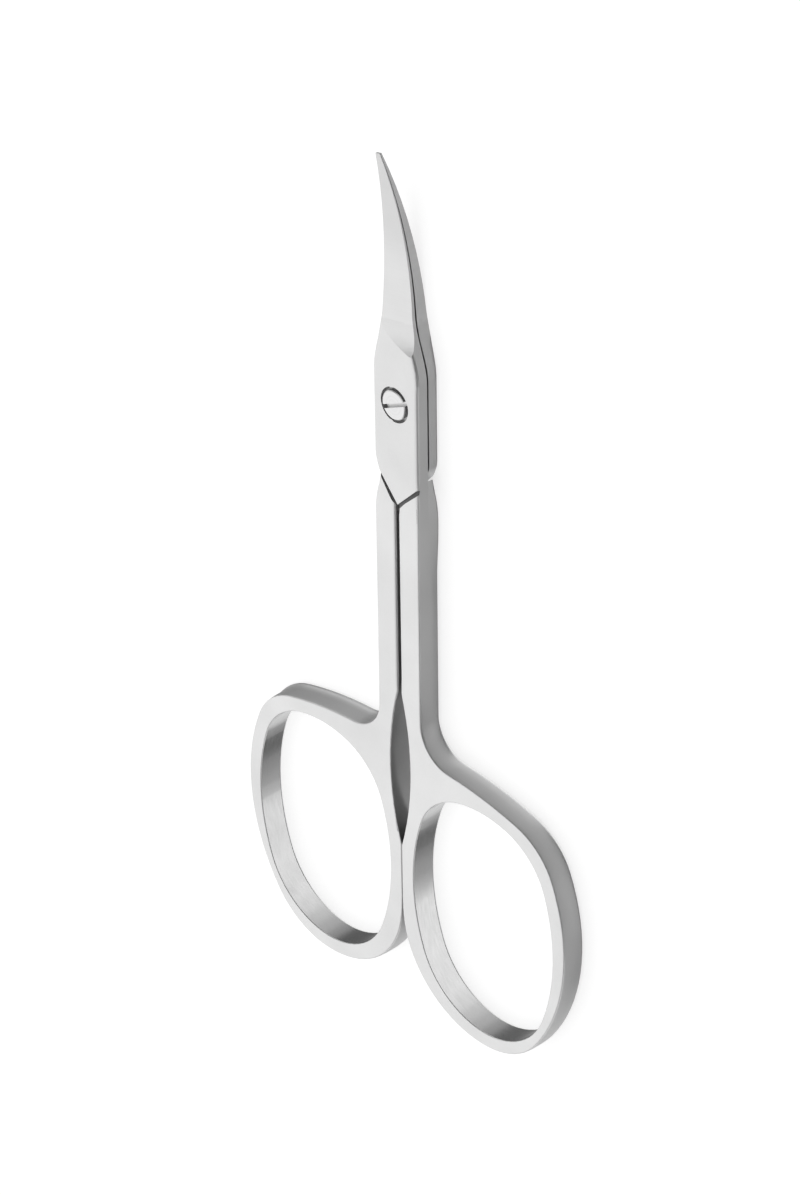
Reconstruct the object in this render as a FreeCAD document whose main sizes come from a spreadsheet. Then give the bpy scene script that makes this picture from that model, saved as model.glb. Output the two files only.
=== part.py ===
"""Cuticle scissors: two forged steel halves that lap at a slotted pivot screw.

Both halves are drawn from one set of sizes. The thumb half lies in front at the pivot and carries the
right finger ring, the finger half lies behind it and carries the left one. Each is the other turned over
about the long axis, apart from the blades, which both bend towards the front.
Drawing frame: millimetres, pivot axis at x = 0, y = 0, back faces at z = 0, tips along +Y, front along +Z.
"""
import FreeCAD, Part
import math
import os
import Sketcher
from FreeCAD import Vector

SIZES = {
    # Stock of the halves and the play between them
    "handle_thickness": 2.8,
    "lap_gap": 0.18,
    "tip_gap": 0.03,
    "stop_gap": 0.04,
    "handle_edge_round": 0.4,
    "hole_edge_round": 0.15,
    "cut_overrun": 1.0,
    # Lap plate at the pivot
    "plate_far_half_width": 2.6,
    "plate_far_corner_drop": 5.8,
    "plate_far_top_rise": 3.0,
    "plate_near_top_rise": 2.7,
    "vee_corner_half_width": 2.0,
    "vee_corner_drop": 7.75,
    "vee_point_drop": 10.1,
    "vee_groove_width": 0.5,
    "vee_line_width": 0.4,
    "vee_line_depth": 0.3,
    "vee_line_start": 0.15,
    "vee_line_start_lag": 0.6,
    "vee_line_end_margin": 0.1,
    "vee_line_end_lag": 0.35,
    "nose_tip_half_width": 2.15,
    "nose_blend_drop": 12.0,
    # Shank
    "shank_half_gap": 0.22,
    "shank_outer_half_width": 2.9,
    "flare_radius": 3.7,
    "flare_above_hole": 5.95,
    "brow_radius": 40.0,
    # Lens-shaped gap between the shanks above the rings, and the lands below it that stop the closing
    "lens_above_hole": 8.55,
    "lens_length": 17.7,
    "lens_half_width": 1.35,
    "stop_land_above_foot": 1.95,
    # Finger ring, with the hole's arcs as shares of its half width
    "finger_hole_top_drop": 39.55,
    "finger_hole_height": 25.8,
    "finger_hole_half_width": 9.37,
    "hole_crown_radius_share": 1.26,
    "hole_corner_radius_share": 0.79,
    "hole_foot_radius_share": 0.908,
    "hole_crown_end_angle": 15.5,
    "ring_inner_wall": 1.56,
    "ring_band": 1.6,
    "ring_corner_band": 1.87,
    "ring_corner_shift": 1.97,
    "ring_corner_shift_angle": 45.0,
    "ring_foot_growth": 0.3,
    # Blade
    "blade_root_lead": 0.3,
    "blade_root_half_width": 1.47,
    "blade_middle_rise": 17.5,
    "blade_middle_half_width": 0.92,
    "tip_rise": 25.6,
    "tip_half_width": 0.2,
    "bend_start_rise": 8.7,
    "bend_radius": 52.0,
    "blade_root_thickness": 0.9,
    "blade_tip_thickness": 0.12,
    "grind_lead": 0.3,
    "grind_run_out_radius": 4.0,
    "grind_run_out_angle": 58.0,
    "grind_slope_share": 0.3,
    # Pivot screw
    "screw_radius": 1.0,
    "running_clearance": 0.03,
    "screw_head_radius": 1.65,
    "head_clearance": 0.13,
    "head_recess_depth": 0.75,
    "head_proud": 0.3,
    "head_seat_gap": 0.02,
    "head_edge_chamfer": 0.08,
    "screw_end_recess": 0.1,
    "slot_width": 0.45,
    "slot_depth": 0.5,
    "slot_turn_angle": 24.0,
}

# The pivot lies far enough along +Y to put the middle of the closed pair's length at the origin
RING_BOTTOM_DROP = "Sizes.finger_hole_top_drop + Sizes.finger_hole_height + Sizes.ring_band"
PIVOT_PLACE = f"({RING_BOTTOM_DROP} - Sizes.tip_rise) / 2"
# The bend lifts the tip, so the blade's stock is higher than the handle by that much
BLADE_BEND_LENGTH = "(Sizes.tip_rise - Sizes.bend_start_rise)"
BLADE_LIFT = f"Sizes.bend_radius - sqrt(Sizes.bend_radius ^ 2 - {BLADE_BEND_LENGTH} ^ 2)"
BLADE_STOCK_HEIGHT = f"Sizes.handle_thickness + {BLADE_LIFT}"
SAME_POINT_TOLERANCE = 1e-6

doc = FreeCAD.newDocument("cuticle_scissors")


def make_sheet():
    """The driving dimensions, one named cell each."""
    table = doc.addObject("Spreadsheet::Sheet", "Sizes")
    for row, (alias, value) in enumerate(SIZES.items(), start=1):
        table.set(f"A{row}", alias)
        table.set(f"B{row}", str(value))
        table.setAlias(f"B{row}", alias)
    doc.recompute()
    return table


sheet = make_sheet()


def size(alias):
    return float(sheet.get(alias))


def make_body(name):
    body = doc.addObject("PartDesign::Body", name)
    body.Label = name
    body.setExpression("Placement.Base.y", PIVOT_PLACE)
    return body


def make_sketch(body, name, role, lift="0"):
    """A sketch on one of the body's own origin planes, lifted along the plane's normal."""
    plane = next(item for item in body.Origin.OriginFeatures if item.Role == role)
    sketch = body.newObject("Sketcher::SketchObject", name)
    sketch.AttachmentSupport = (plane, [""])
    sketch.MapMode = "FlatFace"
    sketch.setExpression("AttachmentOffset.Base.z", lift)
    return sketch


def line(start, end):
    return (start, end)


def arc(start, middle, end):
    return (start, middle, end)


def sweep_curve(start, start_way, end, end_way):
    """The four poles of a cubic that leaves start and reaches end in the given directions."""
    reach = (end - start).Length / 3
    return (start, start + start_way * reach, end - end_way * reach, end)


def polyline(points):
    """Closed run of straight edges."""
    return [line(points[place - 1], points[place]) for place in range(len(points))]


def curve_through(points):
    """Two points make a line, three an arc and four a cubic."""
    if len(points) == 2:
        return Part.LineSegment(*points)
    if len(points) == 3:
        return Part.Arc(*points)
    curve = Part.BezierCurve()
    curve.setPoles(list(points))
    return curve.toBSpline()


def mirror(spot):
    return Vector(-spot.x, spot.y)


def draw(sketch, edges, mirrored=False):
    for points in edges:
        placed = [mirror(spot) for spot in points] if mirrored else points
        sketch.addGeometry(curve_through(placed), False)
    doc.recompute()


def tie(sketch, point, across, along):
    """Bind the sketch corner at point to two expressions of the sheet's cells."""
    for index in range(sketch.GeometryCount):
        for end in (1, 2):
            if sketch.getPoint(index, end).isEqual(point, SAME_POINT_TOLERANCE):
                for kind, value, text in (("DistanceX", point.x, across), ("DistanceY", point.y, along)):
                    number = sketch.addConstraint(Sketcher.Constraint(kind, -1, 1, index, end, value))
                    sketch.setExpression(f"Constraints[{number}]", text)


def draw_circle(sketch, radius):
    """A circle about the pivot axis whose radius is an expression."""
    start_radius = size("screw_radius")
    index = sketch.addGeometry(Part.Circle(Vector(), Vector(0, 0, 1), start_radius), False)
    sketch.addConstraint(Sketcher.Constraint("Coincident", index, 3, -1, 1))
    number = sketch.addConstraint(Sketcher.Constraint("Radius", index, start_radius))
    sketch.setExpression(f"Constraints[{number}]", radius)


def pad(body, sketch, length):
    feature = body.newObject("PartDesign::Pad", sketch.Name + "_pad")
    feature.Profile = sketch
    feature.setExpression("Length", length)
    doc.recompute()
    return feature


def pocket(body, sketch, length, upwards=False, both_ways=False, way=None):
    """Cut the sketch into the body, and stop if nothing was removed."""
    before = body.Shape.Volume
    feature = body.newObject("PartDesign::Pocket", sketch.Name + "_cut")
    feature.Profile = sketch
    feature.Reversed = upwards
    if both_ways:
        feature.SideType = "Symmetric"
    if way:
        feature.UseCustomVector = True
        feature.Direction = way
        feature.AlongSketchNormal = True
    feature.setExpression("Length", length)
    doc.recompute()
    if not body.Shape.Volume < before:
        raise RuntimeError(f"{feature.Name} cut nothing")
    return feature


def round_edges(body, name, radius, chosen):
    """Fillet the edges of the body's last feature that the test picks."""
    base = body.Tip
    names = [f"Edge{place}" for place, edge in enumerate(base.Shape.Edges, start=1) if chosen(edge)]
    feature = body.newObject("PartDesign::Fillet", name)
    feature.Base = (base, names)
    feature.setExpression("Radius", radius)
    doc.recompute()
    return feature


def polar(centre, radius, angle):
    """Point on a circle, with the angle turning from +Y towards +X."""
    return centre + Vector(math.sin(angle), math.cos(angle)) * radius


def ring_axis():
    """Distance of the ring's own middle line from the middle of the pair."""
    return size("stop_gap") / 2 + size("ring_inner_wall") + size("finger_hole_half_width")


def turn_between(centre, target):
    """Angle from +Y towards +X of the direction from centre to target."""
    return math.atan2(target.x - centre.x, target.y - centre.y)


class Egg:
    """Lower part of a ring outline: corner, side and foot arcs, each tangent to the next.

    The side arc is the one that touches both others and the widest line of the ring.
    """

    def __init__(self, corner_centre, corner, foot, half_width, foot_drop):
        self.axis = ring_axis()
        foot_centre = Vector(self.axis, foot - foot_drop)
        widest = self.axis + half_width
        corner_reach = widest - corner_centre.x
        corner_share = 1 / (2 * (corner_reach - corner))
        foot_share = 1 / (2 * (half_width - foot))
        drop = corner_centre.y - foot_centre.y
        constant = (corner_reach + corner - half_width - foot) / 2 - foot_share * drop ** 2
        root = math.sqrt((foot_share * drop) ** 2 - (corner_share - foot_share) * constant)
        fall = constant / (foot_share * drop + root)
        side = (corner_reach + corner) / 2 + corner_share * fall ** 2
        side_centre = Vector(widest - side, corner_centre.y + fall)
        self.corner_end = turn_between(side_centre, corner_centre)
        self.side_end = turn_between(side_centre, foot_centre)
        self.centres = {"corner": corner_centre, "side": side_centre, "foot": foot_centre}
        self.radii = {"corner": corner, "side": side, "foot": foot}

    def span(self, part, start, end, mirrored=False):
        """One of the arcs between two angles, on the outer or the mirrored side of the ring's axis."""
        spots = [polar(self.centres[part], self.radii[part], angle) for angle in (start, (start + end) / 2, end)]
        if mirrored:
            spots = [Vector(2 * self.axis - spot.x, spot.y) for spot in spots]
        return arc(*spots)


def hole_arcs():
    """Centre and radius of the finger hole's crown and corner arcs, and the angle where they meet."""
    crown = size("hole_crown_radius_share") * size("finger_hole_half_width")
    corner = size("hole_corner_radius_share") * size("finger_hole_half_width")
    crown_end = math.radians(size("hole_crown_end_angle"))
    crown_centre = Vector(ring_axis(), -size("finger_hole_top_drop") - crown)
    return crown_centre, crown, polar(crown_centre, crown - corner, crown_end), corner, crown_end


def hole_foot():
    """Radius of the finger hole's foot arc, and how far its lowest point lies below the pivot."""
    foot = size("hole_foot_radius_share") * size("finger_hole_half_width")
    return foot, size("finger_hole_top_drop") + size("finger_hole_height")


def finger_hole_outline():
    """The finger hole: a crown arc on top of the egg's arcs."""
    crown_centre, crown, corner_centre, corner, crown_end = hole_arcs()
    foot, foot_drop = hole_foot()
    egg = Egg(corner_centre, corner, foot, size("finger_hole_half_width"), foot_drop)
    edges = [arc(*[polar(crown_centre, crown, angle) for angle in (-crown_end, 0, crown_end)])]
    for mirrored in (False, True):
        edges.append(egg.span("corner", crown_end, egg.corner_end, mirrored))
        edges.append(egg.span("side", egg.corner_end, egg.side_end, mirrored))
    edges.append(egg.span("foot", egg.side_end, 2 * math.pi - egg.side_end))
    return edges


def ring_egg():
    """The outside of the ring below its brow: the hole's arcs grown by the band, more so at the corner."""
    band = size("ring_band")
    shift = size("ring_corner_shift")
    corner_centre, corner = hole_arcs()[2:4]
    foot, foot_drop = hole_foot()
    ring_corner_centre = polar(corner_centre, shift, math.radians(size("ring_corner_shift_angle")))
    ring_corner = corner + size("ring_corner_band") - shift
    half_width = size("finger_hole_half_width") + band
    return Egg(ring_corner_centre, ring_corner, foot + size("ring_foot_growth"), half_width, foot_drop + band)


def blade_root():
    """Where the blade's outline leaves the plate, on the +X side."""
    return Vector(size("blade_root_half_width"), size("bend_start_rise") + size("blade_root_lead"))


def meet_of_circles(centre_a, radius_a, centre_b, radius_b):
    """The lower of the two points at the given distances from two centres."""
    gap = centre_b - centre_a
    along = (radius_a ** 2 - radius_b ** 2 + gap.Length ** 2) / (2 * gap.Length)
    aside = math.sqrt(radius_a ** 2 - along ** 2)
    way = gap.normalize()
    foot = centre_a + way * along
    across = Vector(-way.y, way.x)
    return min(foot + across * aside, foot - across * aside, key=lambda spot: spot.y)


def toward(centre, target, radius):
    return centre + (target - centre).normalize() * radius


def vee_direction():
    """Direction of the plate's vee edge on the ring side, from its point outwards."""
    rise = size("vee_point_drop") - size("vee_corner_drop")
    return Vector(size("vee_corner_half_width"), rise).normalize()


def root_direction():
    """Direction of the blade's outline where it leaves the plate, on the +X side."""
    return (Vector(size("blade_middle_half_width"), size("blade_middle_rise")) - blade_root()).normalize()


def handle_outline():
    """Plate, shank and ring of the thumb half as seen from the front, in order from the vee point."""
    ring = ring_egg()
    inner = size("shank_half_gap")
    outer = size("shank_outer_half_width")
    way = vee_direction()
    vee_point = Vector(inner, -size("vee_point_drop") - inner * way.y / way.x)
    vee_corner = Vector(-size("vee_corner_half_width"), -size("vee_corner_drop"))
    far_low = Vector(-size("plate_far_half_width"), -size("plate_far_corner_drop"))
    far_high = Vector(-size("plate_far_half_width"), size("plate_far_top_rise"))
    near_root = blade_root()
    near_high = Vector(outer, size("plate_near_top_rise"))
    near_low = Vector(outer, size("flare_above_hole") - size("finger_hole_top_drop"))
    corner_bend = arc_from_tangent(far_low, Vector(0, -1), vee_corner)
    flare = size("flare_radius")
    flare_centre = near_low + Vector(flare, 0)
    corner_centre = ring.centres["corner"]
    brow = size("brow_radius")
    brow_centre = meet_of_circles(flare_centre, brow + flare, corner_centre, brow - ring.radii["corner"])
    brow_start = toward(flare_centre, brow_centre, flare)
    brow_end = toward(brow_centre, corner_centre, brow)
    brow_middle = toward(brow_centre, (brow_start + brow_end) / 2, brow)
    flare_middle = toward(flare_centre, (near_low + brow_start) / 2, flare)
    corner_start = turn_between(corner_centre, brow_end)
    lens_top = Vector(inner, size("lens_above_hole") - size("finger_hole_top_drop"))
    lens_middle = Vector(size("lens_half_width"), lens_top.y - size("lens_length") / 2)
    land = size("stop_gap") / 2
    land_high = Vector(land, lens_top.y - size("lens_length"))
    foot = ring.radii["foot"]
    foot_centre = ring.centres["foot"]
    aside = foot_centre.x - land
    above = size("stop_land_above_foot")
    land_low = Vector(land, foot_centre.y + above)
    heel = (aside ** 2 + above ** 2 - foot ** 2) / (2 * (aside - foot))
    heel_centre = land_low + Vector(heel, 0)
    heel_start = toward(heel_centre, foot_centre, heel)
    heel_middle = toward(heel_centre, (heel_start + land_low) / 2, heel)
    heel_angle = turn_between(foot_centre, heel_start) % (2 * math.pi)
    up = Vector(0, 1)
    return [
        line(vee_point, vee_corner),
        corner_bend,
        line(far_low, far_high),
        sweep_curve(far_high, up, mirror(near_root), mirror(root_direction())),
        line(mirror(near_root), near_root),
        sweep_curve(near_root, -root_direction(), near_high, -up),
        line(near_high, near_low),
        arc(near_low, flare_middle, brow_start),
        arc(brow_start, brow_middle, brow_end),
        ring.span("corner", corner_start, ring.corner_end),
        ring.span("side", ring.corner_end, ring.side_end),
        ring.span("foot", ring.side_end, heel_angle),
        arc(heel_start, heel_middle, land_low),
        line(land_low, land_high),
        arc(land_high, lens_middle, lens_top),
        line(lens_top, vee_point),
    ]


def arc_from_tangent(start, way, end):
    """Arc that leaves start in the direction way and ends at end."""
    chord = end - start
    across = Vector(-way.y, way.x)
    radius = chord.Length ** 2 / (2 * chord.dot(across))
    centre = start + across * radius
    middle = toward(centre, (start + end) / 2, abs(radius))
    return arc(start, middle, end)


def lap_outline():
    """Where the thumb half is cut to half thickness, beyond the nose of its shank."""
    overrun = size("cut_overrun")
    way = vee_direction()
    below = Vector(way.y, -way.x)
    vee_point = Vector(0, -size("vee_point_drop"))
    shoulder = vee_point + below * size("vee_groove_width")
    tip_x = size("nose_tip_half_width")
    nose_tip = shoulder + way * ((tip_x - shoulder.x) / way.x)
    blend_x = size("shank_outer_half_width") + overrun
    far_x = -size("plate_far_half_width") - overrun
    start = shoulder + way * ((far_x - shoulder.x) / way.x)
    blend = Vector(size("shank_outer_half_width"), -size("nose_blend_drop"))
    blend_out = Vector(blend_x, blend.y)
    top = size("bend_start_rise")
    nose = arc_from_tangent(blend, Vector(0, 1), nose_tip)
    return [
        line(start, nose_tip),
        nose,
        line(blend, blend_out),
        line(blend_out, Vector(blend_x, top)),
        line(Vector(blend_x, top), Vector(far_x, top)),
        line(Vector(far_x, top), start),
    ]


def blade_outline():
    """Blade beyond its root, the same on both sides of the middle."""
    root = blade_root()
    middle = Vector(size("blade_middle_half_width"), size("blade_middle_rise"))
    tip = Vector(size("tip_half_width"), size("tip_rise"))
    return [
        line(mirror(root), root),
        arc(root, middle, tip),
        line(tip, mirror(tip)),
        arc(mirror(tip), mirror(middle), mirror(root)),
    ]


def bend_height(rise):
    """Height of the surface between the two blades."""
    radius = size("bend_radius")
    beyond = max(rise - size("bend_start_rise"), 0)
    return size("handle_thickness") / 2 + radius - math.sqrt(radius ** 2 - beyond ** 2)


def blend_value(rise, start, end):
    """Value that runs evenly from start at the bend to end at the tip."""
    share = (rise - size("bend_start_rise")) / (size("tip_rise") - size("bend_start_rise"))
    return start + (end - start) * share


def blade_face(rise, front, offset_root, offset_tip):
    """Point of a blade face's side view: on the middle surface plus an offset to the front or back."""
    offset = blend_value(rise, offset_root, offset_tip)
    return Vector(rise, bend_height(rise) + front * offset)


def inner_face_outline(front):
    """Side view of what is cut away between the blades, front being 1 or -1."""
    rises = (size("bend_start_rise"), size("blade_middle_rise"), size("tip_rise") + size("cut_overrun"))
    start, middle, end = [blade_face(rise, front, size("lap_gap") / 2, size("tip_gap") / 2) for rise in rises]
    overrun = size("cut_overrun")
    level = -overrun if front > 0 else bend_height(end.x) + size("handle_thickness") + overrun
    return [
        arc(start, middle, end),
        line(end, Vector(end.x, level)),
        line(Vector(end.x, level), Vector(start.x, level)),
        line(Vector(start.x, level), start),
    ]


def outer_face_outline(front):
    """Side view, on the middle line, of what the outer grind removes."""
    thick_root = size("blade_root_thickness")
    thick_tip = size("blade_tip_thickness")
    grind_start = size("bend_start_rise") - size("grind_lead")
    rises = (grind_start, size("blade_middle_rise"), size("tip_rise") + size("cut_overrun"))
    start, middle, end = [blade_face(rise, front, thick_root, thick_tip) for rise in rises]
    radius = size("grind_run_out_radius")
    turn = math.radians(size("grind_run_out_angle"))
    centre = start + Vector(0, front * radius)
    run_out_middle, out = [
        centre - Vector(math.sin(angle), front * math.cos(angle)) * radius for angle in (turn / 2, turn)]
    clear = size("cut_overrun") + size("grind_slope_share") * size("shank_outer_half_width")
    level = bend_height(end.x) + size("handle_thickness") + clear if front > 0 else -clear
    return [
        arc(out, run_out_middle, start),
        arc(start, middle, end),
        line(end, Vector(end.x, level)),
        line(Vector(end.x, level), Vector(out.x, level)),
        line(Vector(out.x, level), out),
    ]


def vee_line_outline():
    """Milled line that carries the vee across the half's own shank, with a round outer end."""
    start = Vector(size("vee_line_start"), -size("vee_point_drop") - size("vee_line_start_lag"))
    end_x = size("shank_outer_half_width") - size("vee_line_end_margin")
    end = Vector(end_x, -size("vee_corner_drop") - size("vee_line_end_lag"))
    way = (end - start).normalize()
    half = Vector(-way.y, way.x) * (size("vee_line_width") / 2)
    start = start - way * size("vee_line_width")
    cap = end + way * (size("vee_line_width") / 2)
    return [
        line(start - half, end - half),
        arc(end - half, cap, end + half),
        line(end + half, start + half),
        line(start + half, start - half),
    ]


def make_half(name, front):
    """One half: front is 1 for the thumb half and -1 for the finger half, which is drawn mirrored."""
    body = make_body(name)
    mirrored = front < 0

    outline = make_sketch(body, name + "_outline", "XY_Plane")
    draw(outline, handle_outline(), mirrored)
    pad(body, outline, "Sizes.handle_thickness")

    hole = make_sketch(body, name + "_finger_hole", "XY_Plane")
    draw(hole, finger_hole_outline(), mirrored)
    pocket(body, hole, "Sizes.handle_thickness", upwards=True)

    lap_lift = "0" if front > 0 else "(Sizes.handle_thickness - Sizes.lap_gap) / 2"
    lap = make_sketch(body, name + "_lap", "XY_Plane", lap_lift)
    draw(lap, lap_outline(), mirrored)
    lap_depth = "(Sizes.handle_thickness + Sizes.lap_gap) / 2"
    pocket(body, lap, lap_depth, upwards=True)
    round_handle(body, name, front)

    blade = make_sketch(body, name + "_blade", "XY_Plane")
    draw(blade, blade_outline(), mirrored)
    pad(body, blade, BLADE_STOCK_HEIGHT)

    width = "2 * (Sizes.shank_outer_half_width + Sizes.cut_overrun)"
    inner = make_sketch(body, name + "_inner_face", "YZ_Plane")
    draw(inner, inner_face_outline(front))
    pocket(body, inner, width, both_ways=True)
    outer = make_sketch(body, name + "_outer_face", "YZ_Plane")
    draw(outer, outer_face_outline(front))
    pocket(body, outer, width, both_ways=True, way=Vector(1, 0, -size("grind_slope_share")))

    vee_lift = "Sizes.handle_thickness - Sizes.vee_line_depth" if front > 0 else "0"
    vee = make_sketch(body, name + "_vee_line", "XY_Plane", vee_lift)
    draw(vee, vee_line_outline(), mirrored)
    pocket(body, vee, "Sizes.vee_line_depth", upwards=True)

    bore = make_sketch(body, name + "_bore", "XY_Plane")
    draw_circle(bore, "Sizes.screw_radius + Sizes.running_clearance")
    pocket(body, bore, "Sizes.handle_thickness", upwards=True)
    if front > 0:
        recess_lift = "Sizes.handle_thickness - Sizes.head_recess_depth"
        recess = make_sketch(body, name + "_head_recess", "XY_Plane", recess_lift)
        draw_circle(recess, "Sizes.screw_head_radius + Sizes.head_clearance")
        pocket(body, recess, "Sizes.head_recess_depth", upwards=True)
    return body


def round_handle(body, name, front):
    """Ease the edges on the half's own side that run along it, and those of the finger hole."""
    thickness = size("handle_thickness")
    hole_curves = [curve_through(points).toShape() for points in finger_hole_outline()]

    def middle(edge):
        return edge.valueAt((edge.FirstParameter + edge.LastParameter) / 2)

    def on_face(edge):
        box = edge.BoundBox
        from_faces = min(abs(box.ZMin), abs(box.ZMax - thickness))
        return box.ZLength < SAME_POINT_TOLERANCE and from_faces < SAME_POINT_TOLERANCE

    def beside_hole(edge):
        spot = Part.Vertex(Vector(front * middle(edge).x, middle(edge).y))
        return min(curve.distToShape(spot)[0] for curve in hole_curves) < 2 * size("hole_edge_round")

    def across(edge):
        straight = isinstance(edge.Curve, Part.Line)
        return straight and edge.BoundBox.XLength > SAME_POINT_TOLERANCE

    def handle_edge(edge):
        own_side = front * middle(edge).x > 0
        return on_face(edge) and own_side and not across(edge) and not beside_hole(edge)

    def hole_edge(edge):
        return on_face(edge) and beside_hole(edge)

    round_edges(body, name + "_hole_round", "Sizes.hole_edge_round", hole_edge)
    round_edges(body, name + "_handle_round", "Sizes.handle_edge_round", handle_edge)


def make_screw(name):
    """Slotted cheese-head screw: the head seats in the thumb half, the stem runs into the finger half."""
    body = make_body(name)
    stem = size("screw_radius")
    head = size("screw_head_radius")
    chamfer = size("head_edge_chamfer")
    end = size("screw_end_recess")
    seat = size("handle_thickness") - size("head_recess_depth") + size("head_seat_gap")
    top = size("handle_thickness") + size("head_proud")
    seat_text = "Sizes.handle_thickness - Sizes.head_recess_depth + Sizes.head_seat_gap"
    top_text = "Sizes.handle_thickness + Sizes.head_proud"
    corners = [
        (Vector(0, end), "0", "Sizes.screw_end_recess"),
        (Vector(stem, end), "Sizes.screw_radius", "Sizes.screw_end_recess"),
        (Vector(stem, seat), "Sizes.screw_radius", seat_text),
        (Vector(head, seat), "Sizes.screw_head_radius", seat_text),
        (Vector(head, top - chamfer), "Sizes.screw_head_radius", top_text + " - Sizes.head_edge_chamfer"),
        (Vector(head - chamfer, top), "Sizes.screw_head_radius - Sizes.head_edge_chamfer", top_text),
        (Vector(0, top), "0", top_text),
    ]
    profile = make_sketch(body, name + "_profile", "XZ_Plane")
    draw(profile, polyline([corner[0] for corner in corners]))
    for corner in corners:
        tie(profile, *corner)
    turned = body.newObject("PartDesign::Revolution", name + "_turned")
    turned.Profile = profile
    turned.ReferenceAxis = (profile, ["V_Axis"])
    doc.recompute()

    slot = make_sketch(body, name + "_slot", "XY_Plane", top_text + " - Sizes.slot_depth")
    half_long = head + size("cut_overrun")
    half_wide = size("slot_width") / 2
    signs = ((-1, -1), (1, -1), (1, 1), (-1, 1))
    draw(slot, polyline([Vector(across * half_long, along * half_wide) for across, along in signs]))
    for across, along in signs:
        long_text = f"{across} * (Sizes.screw_head_radius + Sizes.cut_overrun)"
        wide_text = f"{along} * Sizes.slot_width / 2"
        tie(slot, Vector(across * half_long, along * half_wide), long_text, wide_text)
    pocket(body, slot, "Sizes.slot_depth", upwards=True)
    body.setExpression("Placement.Rotation.Angle", "Sizes.slot_turn_angle")
    return body


def check_and_write(bodies):
    doc.recompute()
    for item in doc.Objects:
        if "Invalid" in item.State or "Error" in item.State:
            raise RuntimeError(f"{item.Name} failed: {item.State}")
    os.makedirs("parts", exist_ok=True)
    for body in bodies:
        shape = body.Shape
        if shape.isNull() or not shape.isValid() or len(shape.Solids) != 1:
            raise RuntimeError(f"{body.Label} is not one valid solid")
    for body in bodies:
        body.Shape.exportStep(f"parts/{body.Label}.step")


check_and_write([make_half("thumb_half", 1), make_half("finger_half", -1), make_screw("pivot_screw")])
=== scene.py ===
"""Looks of the cuticle scissors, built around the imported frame.

Both halves are the CAD halves with hand-eased edges and crowned walls, in satin stainless steel with ground
blades and polished finger holes. The pivot screw is the CAD screw with its head turned down, in turned
stainless steel.
"""

import math

import bmesh
import bpy
from mathutils import Matrix, Vector
from mathutils.kdtree import KDTree


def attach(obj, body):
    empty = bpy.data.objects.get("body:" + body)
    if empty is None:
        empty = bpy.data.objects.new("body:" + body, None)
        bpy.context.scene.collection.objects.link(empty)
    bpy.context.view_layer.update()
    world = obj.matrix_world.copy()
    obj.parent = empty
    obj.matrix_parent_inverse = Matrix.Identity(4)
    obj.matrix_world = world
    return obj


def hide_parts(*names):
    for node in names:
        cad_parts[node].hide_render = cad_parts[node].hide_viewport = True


MM = 0.001

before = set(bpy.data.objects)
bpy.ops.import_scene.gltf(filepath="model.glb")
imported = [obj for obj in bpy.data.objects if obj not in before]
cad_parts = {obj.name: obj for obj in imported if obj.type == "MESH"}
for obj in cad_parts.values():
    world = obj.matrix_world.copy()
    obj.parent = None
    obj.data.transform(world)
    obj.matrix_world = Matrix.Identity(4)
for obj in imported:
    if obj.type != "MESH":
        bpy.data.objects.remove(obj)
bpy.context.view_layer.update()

# Sizes of the CAD halves that the finish follows, in millimetres, with X and Y as on the thumb half
THICKNESS = 2.8
MIDDLE = THICKNESS / 2
CAD_HANDLE_ROUND = 0.4
CAD_HOLE_ROUND = 0.15
PIVOT = Vector((0, 20.675))
BLADE_START_Y = 29.0
PLATE_TOP_Y = 23.3
PLATE_LOW_Y = 12.95
FAR_SIDE_X = -1.2
VEE_TOP_Y = 13.2
VEE_LOW_Y = 9.6
VEE_LINE_DEPTH = 0.3
VEE_LINE_END_X = 2.35
NOSE_TOP_Y = 12.33
NOSE_LOW_Y = 7.5
LENS_TOP_Y = -10.3
RING_START_Y = -14.0
LAND_LOW_Y = -34.2
INNER_SIDE_X = 1.9
HOLE_CENTRE = Vector((10.95, -31.8))
HOLE_HALF_SIZE = Vector((9.4, 12.95))

# Hand finish: radii of the eased edges, in millimetres
PLATE_ROUND = 0.38
SHANK_ROUND = 0.2
RING_ROUND = 0.13
GAP_ROUND = 0.3
LENS_ROUND = 0.13
BACK_ROUND = 0.5
FAR_ROUND = 0.5
HOLE_FRONT_ROUND = 0.12
HOLE_BACK_ROUND = 0.2

# Hand finish: how far a wall falls back at its front and back edges, flares or swells, and how far the nose
# is brought up, in millimetres
FRONT_CROWN = 0.08
BACK_CROWN = 0.2
RING_BACK_CROWN = 0.1
RING_TOP_FLARE = 0.35
FAR_SWELL = 0.3
NOSE_LIFT = 0.4

# Screw head: where it begins, and how much smaller and lower than in CAD it is turned
HEAD_FROM_RADIUS = 1.2
HEAD_FROM_Z = 2.4
HEAD_TURNED_DOWN = 0.18
HEAD_LOWERED = 0.16

# Start and end of the fades from one finish to the next, as places in millimetres
LENS_FADE_Y = (LENS_TOP_Y - 1, LENS_TOP_Y + 1)
PLATE_FADE_Y = (VEE_TOP_Y - 5, VEE_TOP_Y)
RING_FADE_Y = (RING_START_Y - 3, RING_START_Y + 2)
NOSE_FADE_Y = (NOSE_LOW_Y - 5, NOSE_LOW_Y)
LAND_FADE_Y = (LAND_LOW_Y - 3, LAND_LOW_Y)
FRONT_CROWN_FADE_Y = (PLATE_TOP_Y - 1, PLATE_TOP_Y)
BACK_CROWN_FADE_Y = (RING_START_Y - 12, RING_START_Y)
FLARE_FADE_Y = (RING_START_Y - 1, RING_START_Y + 2)
SWELL_LOW_FADE_Y = (PLATE_LOW_Y, PLATE_LOW_Y + 2)
SWELL_TOP_FADE_Y = (PLATE_TOP_Y, BLADE_START_Y - 1)
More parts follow.
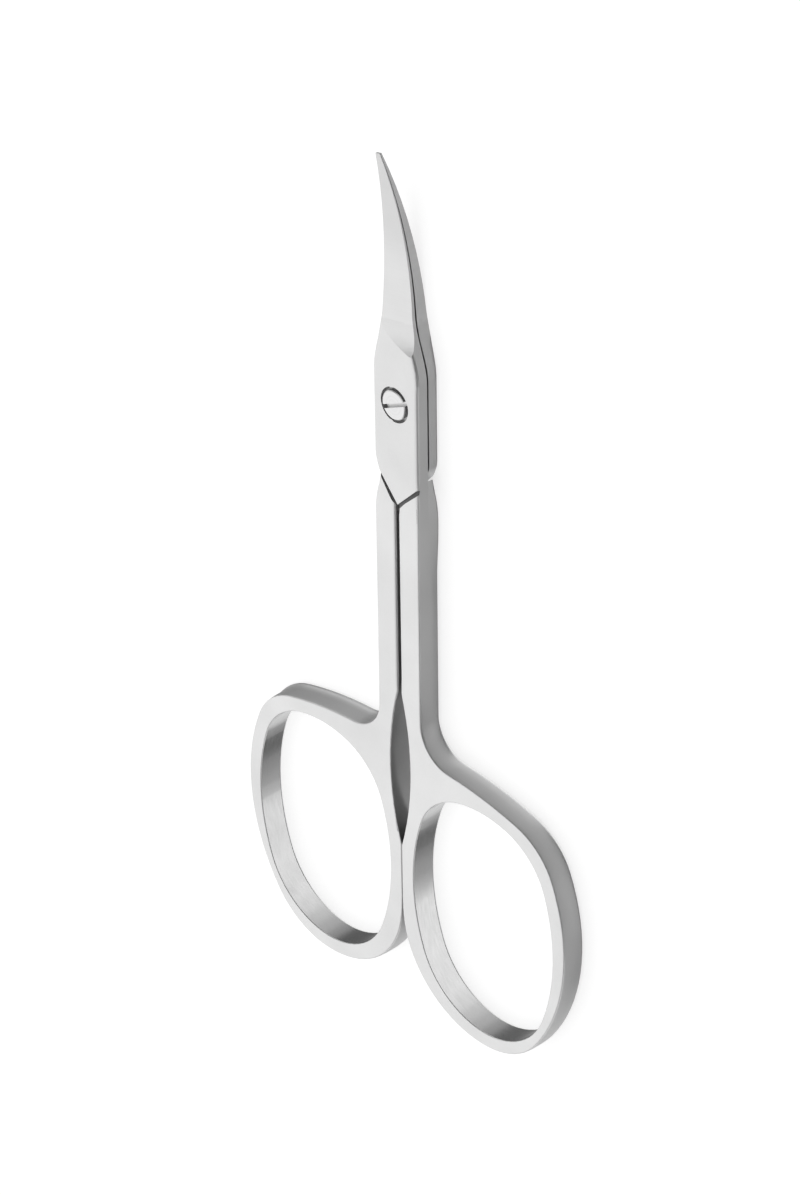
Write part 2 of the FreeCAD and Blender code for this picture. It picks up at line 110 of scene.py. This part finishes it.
NOSE_LIFT_FADE_X = (0.8, 2.0)
NOSE_LIFT_FADE_Y = (NOSE_TOP_Y - 1, NOSE_TOP_Y)
NOSE_TOP_SPARE = 0.1

# The part of a wall's outward direction that counts as facing one way
FLARE_FACING = (0.2, 0.7)
HANDLE_FACING = 0.4
FAR_FACING = 0.7
SAME_WAY = 0.7
LINE_FLOOR_FACING = 0.9
LINE_END_FACING = 0.3
UPRIGHT = 0.02
LEVEL_FACE = 0.9999

# Mesh work, in millimetres and radians. The walls' cuts lie closest at the edges, where the rounds are.
WALL_LEVELS = (0.05, 0.12, 0.22, 0.35, 0.5, 0.7, 1.05, 1.4, 1.75, 2.1, 2.3, 2.45, 2.58, 2.68, 2.75)
CROSS_CUT_STEP = 1.5
MERGE_DISTANCE = 0.0005
ON_WALL = 0.04
WALL_REACH = 1.6
WALL_CHOICES = 16
LEVEL_WEIGHT = 0.3
LINE_BELOW_FACE = 0.02
LINE_SPARE = 0.01
MOSTLY = 0.5
FLAT_ANGLE = math.radians(0.1)
SHARP_ANGLE = math.radians(32)
CAD_CREASE = math.radians(2)
WEAR = "edge_wear"

# Blender's own name and value for the faces whose normals hold where smooth faces meet
FACE_STRENGTH = "__mod_weightednormals_faceweight"
STRONG = 16384

# Kinds of wall, and the round that each has on its edges in CAD
HOLE_WALL, FAR_WALL, HANDLE_WALL = range(3)
CAD_ROUNDS = {HOLE_WALL: CAD_HOLE_ROUND, FAR_WALL: 0, HANDLE_WALL: CAD_HANDLE_ROUND}

# Order of the materials on a half. What isn't marked otherwise is satin.
SATIN, GROUND, POLISHED, INNER_WALL_SHADE, CUT_LINE_SHADE = range(5)

# Pattern sizes in millimetres. Blasting leaves pits of about 0.03 mm and grinding lines of about 0.02 mm,
# which are too fine for the picture, so the marks are drawn some five times as coarse.
TONE_DRIFT = 7.0
BLAST_MARKS = (0.16, 0.16, 0.16)
GRINDING_MARKS = (1.6, 0.11, 1.6)
POLISHING_MARKS = (1.2, 1.2, 0.12)
CUT_LINE_MARKS = (0.3, 0.3, 0.3)
TURNING_PITCH = 0.16
MARK_DEPTH = 0.004
HAND_WAVE = 0.05

# The values that most of a noise lies between, and how much smoother a worn edge is
NOISE_RANGE = (0.3, 0.7)
WORN_SMOOTHING = 0.08

# Turned steel of the screw: darker and lighter tone, lowest and highest roughness, strength of its relief
TURNED_COLOURS = ("c9c9c9", "d4d4d4")
TURNED_ROUGHNESS = (0.28, 0.36)
TURNED_BUMP = 0.15

# Surroundings that the steel mirrors: azimuth (0 is -Y, 90 is +X), elevation, half width and half height in
# degrees, and glow
CARDS = (
    # Ceiling, and the large card that the front faces mirror
    (0, 90, 89, 89, 1.34),
    (302, 20, 89, 70, 1.34),
    # Low card for the eased front edges
    (22, -3, 74, 28, 1.32),
    # Strip of cards that the upright walls mirror, fading towards its ends
    (58, -36, 34, 9, 0.50),
    (86, -36, 46, 8, 1.48),
    (125, -36, 50, 8, 1.50),
    (150, -36, 45, 8, 1.35),
    (170, -36, 45, 8, 1.00),
    (189, -36, 45, 8, 0.72),
    (205, -36, 45, 8, 0.45),
    # Cards for the feet of the rings and for the flared wall
    (345, -38, 30, 18, 0.85),
    (228, 0, 42, 26, 1.30),
    # Cards under the table for the back edges
    (258, -64, 75, 33, 1.20),
    (12, -60, 46, 35, 0.30),
)
SURROUNDINGS_GLOW = 0.13
CARD_DEPTH = 1.5
CARD_SOFT_SHARE = 0.5
BACKDROP_GLOW = 0.97

# Table: half its width in metres, its level in millimetres, a touch under the pair, and its looks
TABLE_HALF = 3.0
TABLE_LEVEL = -0.02
TABLE_COLOUR = "a8a8a8"
TABLE_ROUGHNESS = 0.9
TABLE_GLOW = 0.7

# The photograph's camera: its right, up and back directions, its place and lens in millimetres, and its
# near limit in metres
CAMERA_RIGHT = Vector((0.69304, -0.01301, -0.72078))
CAMERA_UP = Vector((-0.37656, 0.84607, -0.37735))
CAMERA_BACK = Vector((0.61473, 0.53294, 0.58145))
CAMERA_PLACE = Vector((232.476, 201.587, 222.364))
CAMERA_LENS = 122.79
CAMERA_NEAR = 0.01


def linear(hex_colour):
    """An sRGB hex colour as linear RGBA."""
    parts = [int(hex_colour[place:place + 2], 16) / 255 for place in (0, 2, 4)]
    return [c / 12.92 if c <= 0.04045 else ((c + 0.055) / 1.055) ** 2.4 for c in parts] + [1.0]


def add(tree, kind, inputs=None, **settings):
    """Add a node with its settings, and its inputs given as values or as the outputs that feed them."""
    made = tree.nodes.new(kind)
    for name, value in settings.items():
        setattr(made, name, value)
    for socket, value in (inputs or {}).items():
        if isinstance(value, bpy.types.NodeSocket):
            tree.links.new(value, made.inputs[socket])
        else:
            made.inputs[socket].default_value = value
    return made


def smooth_share(value, fade):
    """0 before the fade's start, 1 after its end, and a smooth ramp between."""
    start, end = fade
    share = min(max((value - start) / (end - start), 0), 1)
    return share * share * (3 - 2 * share)


def between(first, second, share):
    """The value that lies a given share of the way from the first to the second."""
    return first + (second - first) * share


def is_flat(face):
    """True on the flat faces, which lie across the pivot's axis."""
    return abs(face.normal.z) > LEVEL_FACE


def edge_normal(edge, face, layer):
    """The direction that CAD gives a face along one of its edges."""
    return sum((loop[layer] for loop in face.loops if loop.vert in edge.verts), Vector())


def skin_of(node):
    """A CAD node's loose triangles as one closed skin in millimetres, with the CAD creases marked sharp."""
    skin = bmesh.new()
    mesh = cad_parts[node].data
    skin.from_mesh(mesh)
    cad_normal = skin.loops.layers.float_vector.new("cad_normal")
    for face, polygon in zip(skin.faces, mesh.polygons):
        for loop, index in zip(face.loops, polygon.loop_indices):
            loop[cad_normal] = mesh.corner_normals[index].vector
    bmesh.ops.scale(skin, vec=(1 / MM,) * 3, verts=skin.verts)
    bmesh.ops.remove_doubles(skin, verts=skin.verts, dist=MERGE_DISTANCE)
    for edge in skin.edges:
        first, second = [edge_normal(edge, face, cad_normal) for face in edge.link_faces]
        edge.smooth = first.angle(second, 0) < CAD_CREASE
    skin.loops.layers.float_vector.remove(cad_normal)
    skin.normal_update()
    return skin


def cut_across(skin, point, direction):
    """Run edges over the walls and rounds where a plane crosses them, and leave the flat faces whole."""
    faces = [face for face in skin.faces if not is_flat(face)]
    edges = dict.fromkeys(edge for face in faces for edge in face.edges)
    verts = dict.fromkeys(vert for face in faces for vert in face.verts)
    bmesh.ops.bisect_plane(
        skin, geom=[*verts, *edges, *faces], dist=MERGE_DISTANCE, plane_co=point, plane_no=direction
    )


def as_thumb_half(vector, side):
    """The plan view of a point or direction, mirrored so that both halves read as the thumb half."""
    return Vector((side * vector.x, vector.y))


def on_hole_wall(spot, out):
    """True on the finger hole's wall, where outwards points to the hole's middle."""
    to_centre = HOLE_CENTRE - spot
    inside = abs(to_centre.x) < HOLE_HALF_SIZE.x and abs(to_centre.y) < HOLE_HALF_SIZE.y
    return inside and to_centre.dot(out) > 0


def on_handle_wall(spot, out):
    """True on the walls of the half's own side, from the ring up to the lap plate."""
    if spot.y > PLATE_TOP_Y:
        return False
    if spot.y < RING_START_Y:
        return True
    return spot.x > 0 and abs(out.x) > HANDLE_FACING


def on_far_wall(spot, out):
    """True on the lap plate's wall on the other half's side, up to the root of the blade."""
    return PLATE_LOW_Y < spot.y < BLADE_START_Y and spot.x < FAR_SIDE_X and out.x < -FAR_FACING


def inner_share(spot, out):
    """1 on the side that faces the other half, 0 elsewhere, with a fade below the stop land."""
    if spot.x > INNER_SIDE_X or out.x > 0:
        return 0
    return smooth_share(spot.y, LAND_FADE_Y)


def front_round(spot, out):
    """Radius of the handle's front edge, from the soft lap plate to the crisp ring."""
    inner = between(LENS_ROUND, GAP_ROUND, smooth_share(spot.y, LENS_FADE_Y))
    handle = between(SHANK_ROUND, PLATE_ROUND, smooth_share(spot.y, PLATE_FADE_Y))
    outer = between(RING_ROUND, handle, smooth_share(spot.y, RING_FADE_Y))
    return between(outer, inner, inner_share(spot, out))


def back_round(spot, out):
    """Radius of the handle's back edge, which is left as in CAD on the nose below the lap plate."""
    outer = between(BACK_ROUND, CAD_HANDLE_ROUND, smooth_share(spot.y, NOSE_FADE_Y))
    return between(outer, GAP_ROUND, inner_share(spot, out))


def wall_crown(spot, out, at_front, side):
    """How far a wall falls back at its front or back edge.

    The top of the finger half's ring flares at its back instead.
    """
    if at_front:
        crown = FRONT_CROWN * (1 - smooth_share(spot.y, FRONT_CROWN_FADE_Y))
    else:
        crown = between(RING_BACK_CROWN, BACK_CROWN, smooth_share(spot.y, BACK_CROWN_FADE_Y))
        crown *= 1 - smooth_share(spot.y, NOSE_FADE_Y)
        if side < 0:
            on_top = smooth_share(out.y, FLARE_FACING) * (1 - smooth_share(spot.y, FLARE_FADE_Y))
            crown = between(crown, -RING_TOP_FLARE, on_top)
    return crown * (1 - inner_share(spot, out))


def arc_depth(drop, radius):
    """How far an edge round lies behind the wall at a given drop below the face."""
    if drop >= radius:
        return 0
    return radius - math.sqrt(radius ** 2 - (radius - drop) ** 2)


def plan_normal(vert):
    """The direction in plan that the walls round a point lean to."""
    walls = [face for face in vert.link_faces if not is_flat(face)]
    normal = sum((face.normal * face.calc_area() for face in walls), Vector())
    return Vector((normal.x, normal.y)).normalized()


class Walls:
    """The upright walls of a half, to find for any point the wall it belongs to."""

    def __init__(self, skin, side):
        self.side = side
        kinds = {HOLE_WALL: set(), FAR_WALL: set(), HANDLE_WALL: set()}
        for face in skin.faces:
            if abs(face.normal.z) > UPRIGHT:
                continue
            spot = as_thumb_half(face.calc_center_median(), side)
            out = as_thumb_half(face.normal, side)
            if on_hole_wall(spot, out):
                kinds[HOLE_WALL].add(face)
                face.material_index = POLISHED
            elif on_far_wall(spot, out):
                kinds[FAR_WALL].add(face)
            elif on_handle_wall(spot, out):
                kinds[HANDLE_WALL].add(face)
                # Inner walls below the vee take the rough forged steel whose darker colour is painted shade
                if inner_share(spot, out) > MOSTLY and spot.y < VEE_LOW_Y:
                    face.material_index = INNER_WALL_SHADE
        self.points = []
        for vert in skin.verts:
            for kind, faces in kinds.items():
                if all(face in faces for face in vert.link_faces):
                    self.points.append((vert.co.copy(), plan_normal(vert), kind))
        self.tree = KDTree(len(self.points))
        for index, (place, _, _) in enumerate(self.points):
            self.tree.insert((place.x, place.y, place.z * LEVEL_WEIGHT), index)
        self.tree.balance()

    def behind(self, place, drop, facing):
        """The outward direction and kind of the wall that a point belongs to, or None off the walls."""
        found = []
        for _, index, _ in self.tree.find_n((place.x, place.y, place.z * LEVEL_WEIGHT), WALL_CHOICES):
            wall, out, kind = self.points[index]
            offset = Vector((wall.x - place.x, wall.y - place.y))
            misfit = abs(offset.dot(out) - arc_depth(drop, CAD_ROUNDS[kind]))
            if offset.length < WALL_REACH and out.dot(facing) > SAME_WAY and misfit < ON_WALL:
                found.append((offset.length, index))
        if not found:
            return None
        return self.points[min(found)[1]][1:]


def eased(vert, walls):
    """Where a point of a wall or its edge goes by the hand finish, and its wear, or None off the walls.

    The wear is 1 half way round an eased edge and 0 on the wall and on the face.
    """
    place = vert.co
    at_front = place.z > MIDDLE
    drop = max(THICKNESS - place.z if at_front else place.z, 0)
    found = walls.behind(place, drop, plan_normal(vert))
    if found is None:
        return None
    out, kind = found
    spot = as_thumb_half(place, walls.side)
    seen_out = as_thumb_half(out, walls.side)
    if kind == FAR_WALL:
        swell = smooth_share(spot.y, SWELL_LOW_FADE_Y) * (1 - smooth_share(spot.y, SWELL_TOP_FADE_Y))
        inward = (arc_depth(drop, FAR_ROUND) - FAR_SWELL) * swell
        return Vector((place.x - out.x * inward, place.y - out.y * inward, place.z)), 0
    if kind == HOLE_WALL:
        radius = HOLE_FRONT_ROUND if at_front else HOLE_BACK_ROUND
        crown = 0
    else:
        radius = front_round(spot, seen_out) if at_front else back_round(spot, seen_out)
        crown = wall_crown(spot, seen_out, at_front, walls.side)
    cad_round = CAD_ROUNDS[kind]
    scale = radius / cad_round
    if drop < cad_round:
        new_drop = drop * scale
    else:
        new_drop = radius + (drop - cad_round) * (MIDDLE - radius) / (MIDDLE - cad_round)
    inward = arc_depth(drop, cad_round) * (scale - 1) + crown * ((MIDDLE - new_drop) / MIDDLE) ** 2
    level = THICKNESS - new_drop if at_front else new_drop
    share = min(drop / cad_round, 1)
    return Vector((place.x - out.x * inward, place.y - out.y * inward, level)), 4 * share * (1 - share)


def lift_nose(skin, side):
    """Bring the nose below the other half's lap plate up to the plate's end."""
    for vert in skin.verts:
        spot = as_thumb_half(vert.co, side)
        below_lap = vert.co.z < MIDDLE if side > 0 else vert.co.z > MIDDLE
        if below_lap and spot.y < NOSE_TOP_Y + NOSE_TOP_SPARE:
            lift = smooth_share(spot.y, NOSE_LIFT_FADE_Y) * smooth_share(spot.x, NOSE_LIFT_FADE_X)
            vert.co.y += NOSE_LIFT * lift


def flat_regions(skin):
    """The flat faces of a skin, as lists of those that hang together."""
    left = dict.fromkeys(face for face in skin.faces if is_flat(face))
    regions = []
    while left:
        waiting = [next(iter(left))]
        del left[waiting[0]]
        region = []
        while waiting:
            face = waiting.pop()
            region.append(face)
            for edge in face.edges:
                for neighbour in edge.link_faces:
                    if neighbour in left:
                        del left[neighbour]
                        waiting.append(neighbour)
        regions.append(region)
    return regions


def refill_flat_faces(skin):
    """Fill each flat face afresh between its moved edges, with its holes left open."""
    for region in flat_regions(skin):
        facing = Vector((0, 0, round(region[0].normal.z)))
        inside = set(region)
        border = [edge for face in region for edge in face.edges if not inside.issuperset(edge.link_faces)]
        bmesh.ops.delete(skin, geom=region, context="FACES")
        filled = bmesh.ops.triangle_fill(skin, edges=border, use_beauty=True, normal=facing)
        for face in filled["geom"]:
            if isinstance(face, bmesh.types.BMFace):
                face.normal_update()
                if face.normal.dot(facing) < 0:
                    face.normal_flip()


def finish_walls(skin, side):
    """Crown the walls and give their edges the rounds of a hand-finished forging."""
    for level in WALL_LEVELS:
        cut_across(skin, (0, 0, level), (0, 0, 1))
    cuts = math.ceil((BLADE_START_Y - LAND_LOW_Y) / CROSS_CUT_STEP)
    for number in range(cuts):
        cut_across(skin, (0, LAND_LOW_Y + number * CROSS_CUT_STEP, 0), (0, 1, 0))
    skin.normal_update()
    walls = Walls(skin, side)
    wear = skin.verts.layers.float.new(WEAR)
    targets = []
    for vert in skin.verts:
        found = eased(vert, walls)
        if found:
            targets.append((vert, *found))
    for vert, place, amount in targets:
        vert.co = place
        vert[wear] = amount
    lift_nose(skin, side)
    refill_flat_faces(skin)
    skin.normal_update()


def on_line_end(face, side):
    """True on the outer wall and its round, where the cut line beside the vee runs out."""
    return side * face.calc_center_median().x > VEE_LINE_END_X and abs(face.normal.y) < LINE_END_FACING


def mark_blade(skin, side):
    """The ground blade, and the cut line beside the vee, coloured dark grey as painted shade."""
    front = THICKNESS if side > 0 else 0
    for face in skin.faces:
        centre = face.calc_center_median()
        if centre.y > BLADE_START_Y:
            face.material_index = GROUND
        under = abs(centre.z - front)
        beside_vee = VEE_LOW_Y < centre.y < VEE_TOP_Y and side * centre.x > 0
        in_depth = LINE_BELOW_FACE < under < VEE_LINE_DEPTH + LINE_SPARE
        in_line = abs(face.normal.z) > LINE_FLOOR_FACING or not on_line_end(face, side)
        # The cut line's floor and walls take a dark colour that is painted shade
        if beside_vee and in_depth and in_line:
            face.material_index = CUT_LINE_SHADE


def piece_from(skin, name, materials):
    """A skin in millimetres as a smooth-shaded piece in metres, with its flat faces kept flat."""
    edges = [edge for edge in skin.edges if not any(is_flat(face) for face in edge.link_faces)]
    verts = [vert for vert in skin.verts if not any(is_flat(face) for face in vert.link_faces)]
    bmesh.ops.dissolve_limit(skin, angle_limit=FLAT_ANGLE, verts=verts, edges=edges, delimit={"MATERIAL"})
    for edge in skin.edges:
        cad_crease = not edge.smooth and edge.verts[0].co.y > PLATE_TOP_Y
        edge.smooth = edge.calc_face_angle(0) < SHARP_ANGLE and not cad_crease
    strength = skin.faces.layers.int.new(FACE_STRENGTH)
    for face in skin.faces:
        face.smooth = True
        if is_flat(face):
            face[strength] = STRONG
    bmesh.ops.scale(skin, vec=(MM,) * 3, verts=skin.verts)
    mesh = bpy.data.meshes.new(name)
    skin.to_mesh(mesh)
    skin.free()
    mesh.attributes.remove(mesh.attributes["custom_normal"])
    for material in materials:
        mesh.materials.append(material)
    piece = bpy.data.objects.new(name, mesh)
    bpy.context.scene.collection.objects.link(piece)
    weighted = piece.modifiers.new("flat_faces_stay_flat", "WEIGHTED_NORMAL")
    weighted.keep_sharp = True
    weighted.use_face_influence = True
    return piece


def steel(name, colours, roughness, marks, bump):
    """Stainless steel whose tone drifts a little over the surface, with the marks of how it was finished.

    colours are the darker and the lighter tone, roughness the lowest and highest value, marks the size of
    the finish's marks along X, Y and Z in millimetres, and bump the strength of their relief. Worn edges are
    smoother.
    """
    material = bpy.data.materials.new(name)
    material.use_nodes = True
    tree = material.node_tree
    shader = tree.nodes["Principled BSDF"]
    shader.inputs["Metallic"].default_value = 1
    place = add(tree, "ShaderNodeTexCoord").outputs["Object"]
    drift = add(
        tree, "ShaderNodeTexNoise", {"Vector": place, "Scale": 1 / (TONE_DRIFT * MM), "Detail": 2}
    ).outputs["Fac"]
    tone = add(tree, "ShaderNodeValToRGB", {"Fac": drift})
    for stop, position, colour in zip(tone.color_ramp.elements, NOISE_RANGE, colours):
        stop.position = position
        stop.color = linear(colour)
    mark_place = add(
        tree, "ShaderNodeMapping", {"Vector": place, "Scale": [1 / (size * MM) for size in marks]}
    )
    relief = add(
        tree, "ShaderNodeTexNoise", {"Vector": mark_place.outputs["Vector"], "Scale": 1, "Detail": 2}
    ).outputs["Fac"]
    rough = add(
        tree, "ShaderNodeMapRange",
        {"Value": relief, "From Min": NOISE_RANGE[0], "From Max": NOISE_RANGE[1],
         "To Min": roughness[0], "To Max": roughness[1]},
    ).outputs["Result"]
    worn = add(tree, "ShaderNodeAttribute", attribute_name=WEAR).outputs["Fac"]
    smoother = add(
        tree, "ShaderNodeMath", {0: worn, 1: -WORN_SMOOTHING, 2: rough}, operation="MULTIPLY_ADD"
    )
    wave = add(tree, "ShaderNodeBump", {"Height": drift, "Distance": HAND_WAVE * MM})
    height = add(
        tree, "ShaderNodeBump",
        {"Height": relief, "Strength": bump, "Distance": MARK_DEPTH * MM, "Normal": wave.outputs["Normal"]},
    )
    tree.links.new(tone.outputs["Color"], shader.inputs["Base Color"])
    tree.links.new(smoother.outputs["Value"], shader.inputs["Roughness"])
    tree.links.new(height.outputs["Normal"], shader.inputs["Normal"])
    return material


def turned_steel():
    """Turned stainless steel: rings round the screw's axis that catch the light as a faint fan."""
    material = bpy.data.materials.new("turned_stainless_steel")
    material.use_nodes = True
    tree = material.node_tree
    shader = tree.nodes["Principled BSDF"]
    shader.inputs["Metallic"].default_value = 1
    place = add(tree, "ShaderNodeTexCoord").outputs["Object"]
    from_axis = add(
        tree, "ShaderNodeMapping",
        {"Vector": place, "Location": (-PIVOT.x * MM, -PIVOT.y * MM, 0), "Scale": (1, 1, 0)},
    )
    radius = add(tree, "ShaderNodeVectorMath", {0: from_axis.outputs["Vector"]}, operation="LENGTH")
    rings = add(
        tree, "ShaderNodeTexNoise",
        {"W": radius.outputs["Value"], "Scale": 1 / (TURNING_PITCH * MM), "Detail": 2},
        noise_dimensions="1D",
    ).outputs["Fac"]
    tone = add(tree, "ShaderNodeValToRGB", {"Fac": rings})
    for stop, position, colour in zip(tone.color_ramp.elements, NOISE_RANGE, TURNED_COLOURS):
        stop.position = position
        stop.color = linear(colour)
    rough = add(
        tree, "ShaderNodeMapRange",
        {"Value": rings, "From Min": NOISE_RANGE[0], "From Max": NOISE_RANGE[1],
         "To Min": TURNED_ROUGHNESS[0], "To Max": TURNED_ROUGHNESS[1]},
    )
    height = add(
        tree, "ShaderNodeBump", {"Height": rings, "Strength": TURNED_BUMP, "Distance": MARK_DEPTH * MM}
    )
    tree.links.new(tone.outputs["Color"], shader.inputs["Base Color"])
    tree.links.new(rough.outputs["Result"], shader.inputs["Roughness"])
    tree.links.new(height.outputs["Normal"], shader.inputs["Normal"])
    return material


def make_half(node, name, side, materials):
    """One half of the pair; side is 1 for the thumb half and -1 for the finger half."""
    skin = skin_of(node)
    finish_walls(skin, side)
    mark_blade(skin, side)
    piece = piece_from(skin, name, materials)
    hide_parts(node)
    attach(piece, node)


def make_screw():
    """The slotted pivot screw, its head turned down so that a dark ring shows all round it."""
    skin = skin_of("pivot_screw")
    for vert in skin.verts:
        from_axis = vert.co.xy - PIVOT
        if from_axis.length > HEAD_FROM_RADIUS:
            vert.co.xy = PIVOT + from_axis * (1 - HEAD_TURNED_DOWN / from_axis.length)
        if vert.co.z > HEAD_FROM_Z:
            vert.co.z -= HEAD_LOWERED
    piece = piece_from(skin, "slotted_pivot_screw", [turned_steel()])
    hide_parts("pivot_screw")
    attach(piece, "pivot_screw")


def make_world():
    """Soft white cards on a dark ground for the steel to mirror, and a pale backdrop for the camera."""
    world = bpy.data.worlds.new("studio")
    world.use_nodes = True
    bpy.context.scene.world = world
    tree = world.node_tree
    direction = add(tree, "ShaderNodeTexCoord").outputs["Generated"]
    glow = SURROUNDINGS_GLOW
    for azimuth, elevation, half_width, half_height, strength in CARDS:
        turn = math.radians(azimuth - 90)
        tilt = math.radians(elevation)
        middle = (math.cos(tilt) * math.cos(turn), math.cos(tilt) * math.sin(turn), math.sin(tilt))
        reach = (CARD_DEPTH, math.sin(math.radians(half_width)), math.sin(math.radians(half_height)))
        on_card = add(
            tree, "ShaderNodeMapping",
            {"Vector": direction, "Location": middle, "Rotation": (0, -tilt, turn), "Scale": reach},
            vector_type="TEXTURE",
        )
        nearness = add(
            tree, "ShaderNodeTexGradient", {"Vector": on_card.outputs["Vector"]}, gradient_type="SPHERICAL"
        )
        card = add(
            tree, "ShaderNodeMapRange",
            {"Value": nearness.outputs["Fac"], "From Max": CARD_SOFT_SHARE, "To Max": strength},
            interpolation_type="SMOOTHSTEP",
        )
        brighter = add(
            tree, "ShaderNodeMath", {0: card.outputs["Result"], 1: glow}, operation="MAXIMUM"
        )
        glow = brighter.outputs["Value"]
    seen = add(tree, "ShaderNodeLightPath").outputs["Is Camera Ray"]
    shown = add(tree, "ShaderNodeMix", {"Factor": seen, "A": glow, "B": BACKDROP_GLOW})
    tree.links.new(shown.outputs["Result"], tree.nodes["Background"].inputs["Strength"])
    tree.nodes["Background"].inputs["Color"].default_value = linear("ffffff")


def make_floor():
    """A plain white table. The steel mirrors the cards below it, not the table."""
    mesh = bpy.data.meshes.new("floor")
    corners = ((-1, -1), (1, -1), (1, 1), (-1, 1))
    level = TABLE_LEVEL * MM
    mesh.from_pydata([(x * TABLE_HALF, y * TABLE_HALF, level) for x, y in corners], [], [(0, 1, 2, 3)])
    floor = bpy.data.objects.new("floor", mesh)
    bpy.context.scene.collection.objects.link(floor)
    material = bpy.data.materials.new("matt_white_table")
    material.use_nodes = True
    shader = material.node_tree.nodes["Principled BSDF"]
    shader.inputs["Base Color"].default_value = linear(TABLE_COLOUR)
    shader.inputs["Roughness"].default_value = TABLE_ROUGHNESS
    shader.inputs["Emission Color"].default_value = linear("ffffff")
    shader.inputs["Emission Strength"].default_value = TABLE_GLOW
    mesh.materials.append(material)
    floor.visible_glossy = False
    floor.visible_shadow = False


def make_camera():
    """The photograph's view of the pair."""
    camera = bpy.data.objects.new("camera", bpy.data.cameras.new("camera"))
    bpy.context.scene.collection.objects.link(camera)
    camera.data.lens = CAMERA_LENS
    camera.data.clip_start = CAMERA_NEAR
    turn = Matrix((CAMERA_RIGHT, CAMERA_UP, CAMERA_BACK)).transposed()
    camera.matrix_world = Matrix.Translation(CAMERA_PLACE * MM) @ turn.to_4x4()
    bpy.context.scene.camera = camera


bpy.context.scene.view_settings.view_transform = "Standard"
half_materials = [
    # Bead-blasted stainless steel: an even, soft grey sheen with a barely visible grain
    steel("satin_blasted_stainless_steel", ("cbcbcb", "d2d2d2"), (0.42, 0.48), BLAST_MARKS, 0.12),
    # Ground stainless steel: a slightly brighter blade with fine lines across it
    steel("ground_stainless_steel", ("cdcdcd", "d4d4d4"), (0.36, 0.44), GRINDING_MARKS, 0.12),
    # Polished stainless steel: clear light and dark bands round the finger holes
    steel("polished_stainless_steel", ("cbcbcb", "d0d0d0"), (0.18, 0.22), POLISHING_MARKS, 0.004),
    # Inner walls that no wheel reaches, left rough as forged, their darker colour painted shade: the dark
    # gap between the shanks and the dark opening below it
    steel("forged_steel_with_painted_shade", ("9c9c9c", "b0b0b0"), (0.4, 0.5), BLAST_MARKS, 0.15),
    # Cut line beside the vee: a dull dark grey colour that is painted shade
    steel("cut_line_with_painted_shade", ("4a4a4a", "626262"), (0.5, 0.6), CUT_LINE_MARKS, 0.2),
]
make_half("thumb_half", "forged_thumb_half", 1, half_materials)
make_half("finger_half", "forged_finger_half", -1, half_materials)
make_screw()
make_floor()
make_world()
make_camera()
